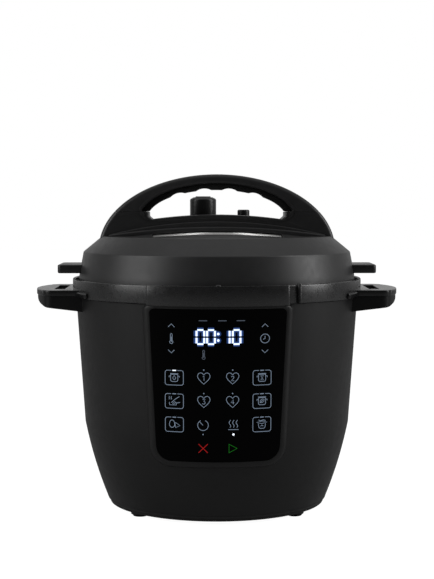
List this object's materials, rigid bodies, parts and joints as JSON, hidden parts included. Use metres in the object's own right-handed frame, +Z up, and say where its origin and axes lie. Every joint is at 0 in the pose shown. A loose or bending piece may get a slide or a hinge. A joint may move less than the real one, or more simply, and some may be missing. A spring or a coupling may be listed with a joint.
{
  "type": "electric pressure cooker",
  "caption": "Round countertop electric pressure cooker with a bayonet lid, arched lid handle, touch panel, side handles and a lift-out steel pot.",
  "frame": {"origin": "where the pot's axis meets the worktop, level with the undersides of the four feet", "axes": "+Z up along the pot's axis, -Y towards the control panel, +X towards the right side handle"},
  "size_m": [0.34, 0.297, 0.3124],
  "materials": {
    "charcoal_plastic": "satin charcoal moulded plastic",
    "black_plastic": "satin black moulded plastic",
    "grip_rubber": "matt black soft grip",
    "foot_rubber": "matt black rubber",
    "panel_glass": null,
    "display": "lit white and blue digits",
    "circuit_board": "green solder mask",
    "steel": "brushed stainless steel",
    "aluminium": "turned cast aluminium",
    "ceramic": "white ceramic sleeve",
    "brass": "plated brass",
    "smoke_plastic": "smoke grey plastic",
    "silicone": "translucent white silicone",
    "float_red": "red moulded pin"
  },
  "bodies": {
    "base": {"outer_housing": "charcoal_plastic", "base_cover": "black_plastic", "foot_front_left": "foot_rubber", "foot_front_right": "foot_rubber", "foot_rear_left": "foot_rubber", "foot_rear_right": "foot_rubber", "base_screws": "steel", "condensation_collar": "charcoal_plastic", "collar_front_plate": "charcoal_plastic", "side_handle_left": "black_plastic", "side_handle_right": "black_plastic", "handle_shell_left": "black_plastic", "handle_shell_right": "black_plastic", "panel_bezel": "charcoal_plastic", "control_glass": "panel_glass", "display_module": "display", "control_board": "circuit_board", "heater_housing": "steel", "lock_ring": "steel", "heating_plate": "aluminium", "plate_supports": "steel", "heating_element": "steel", "sensor_holder": "steel", "sensor_spring": "steel", "pressure_switch": "black_plastic", "thermal_fuse": "ceramic", "power_board": "circuit_board", "mains_inlet": "black_plastic", "inlet_pins": "brass"},
    "sensor": {"temperature_sensor": "steel"},
    "cup": {"condensation_cup": "smoke_plastic"},
    "pot": {"inner_pot": "steel"},
    "seal": {"sealing_ring": "silicone"},
    "lid": {"ring_rack": "steel", "pressure_lid": "steel", "lid_cover": "charcoal_plastic", "lid_fin_left": "black_plastic", "lid_fin_right": "black_plastic", "handle_base": "black_plastic", "handle_arch": "black_plastic", "handle_grip": "grip_rubber", "handle_screws": "steel", "valve_mount": "black_plastic", "steam_pipe": "steel", "release_spring": "steel", "anti_block_shield": "steel"},
    "valve": {"steam_valve": "black_plastic"},
    "button": {"release_button": "black_plastic"},
    "float": {"float_valve": "float_red", "float_seal": "silicone"}
  },
  "joints": [
    {"name": "sensor_press", "type": "slide", "parent": "base", "child": "sensor", "axis": [0, 0, 1], "range_m": [-0.0015, 0], "stiffness_N_per_m": 400, "springref_m": 0.001, "deforming": ["sensor_spring"]},
    {"name": "cup_slide", "type": "slide", "parent": "base", "child": "cup", "axis": [0, 1, 0], "range_m": [0, 0.04]},
    {"name": "pot_lift", "type": "slide", "parent": "base", "child": "pot", "axis": [0, 0, 1], "range_m": [0, 0.185]},
    {"name": "lid_lift", "type": "slide", "parent": "pot", "child": "seal", "axis": [0, 0, 1], "range_m": [0, 0.25]},
    {"name": "lid_turn", "type": "hinge", "parent": "seal", "child": "lid", "pos_m": [0, 0, 0.23], "axis": [0, 0, 1], "range_deg": [0, 30]},
    {"name": "valve_lift", "type": "slide", "parent": "lid", "child": "valve", "axis": [0, 0, 1], "range_m": [0, 0.03]},
    {"name": "button_press", "type": "slide", "parent": "lid", "child": "button", "axis": [0, 0, 1], "range_m": [-0.003, 0], "stiffness_N_per_m": 300, "springref_m": 0.002, "deforming": ["release_spring"]},
    {"name": "float_rise", "type": "slide", "parent": "lid", "child": "float", "axis": [0, 0, 1], "range_m": [0, 0.0055]}
  ]
}
